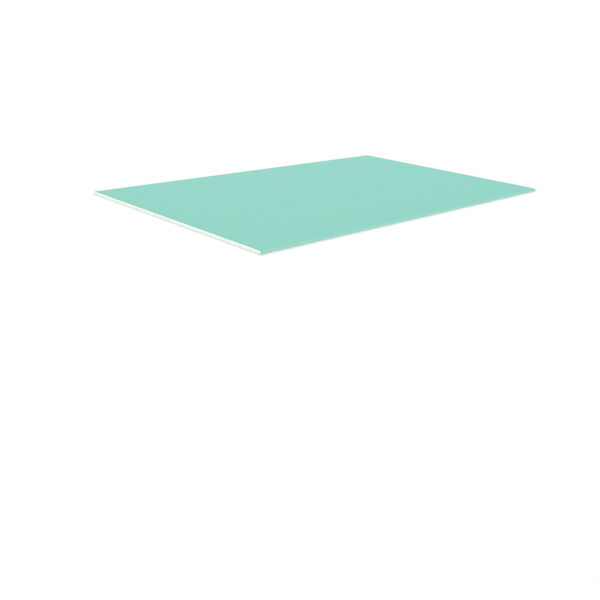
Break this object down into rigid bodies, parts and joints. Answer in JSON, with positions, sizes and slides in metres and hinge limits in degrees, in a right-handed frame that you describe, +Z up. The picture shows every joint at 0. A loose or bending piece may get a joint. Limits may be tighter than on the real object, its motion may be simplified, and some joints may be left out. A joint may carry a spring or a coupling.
{
  "type": "drywall sheet",
  "caption": "Flat moisture-resistant drywall sheet: white gypsum core, green face paper folded round tapered long edges, grey paper back and bare cut ends.",
  "frame": {"origin": "middle of the back, on the surface that the sheet lies on", "axes": "+X along the sheet's length, +Y across its width, +Z up through its thickness and out of the green face"},
  "size_m": [2, 1.25, 0.0125],
  "materials": {
    "gypsum": "matte",
    "green_paper": "matte",
    "grey_paper": "matte"
  },
  "bodies": {
    "root": {"gypsum_core": "gypsum", "face_paper": "green_paper", "back_paper": "grey_paper"}
  },
  "joints": []
}
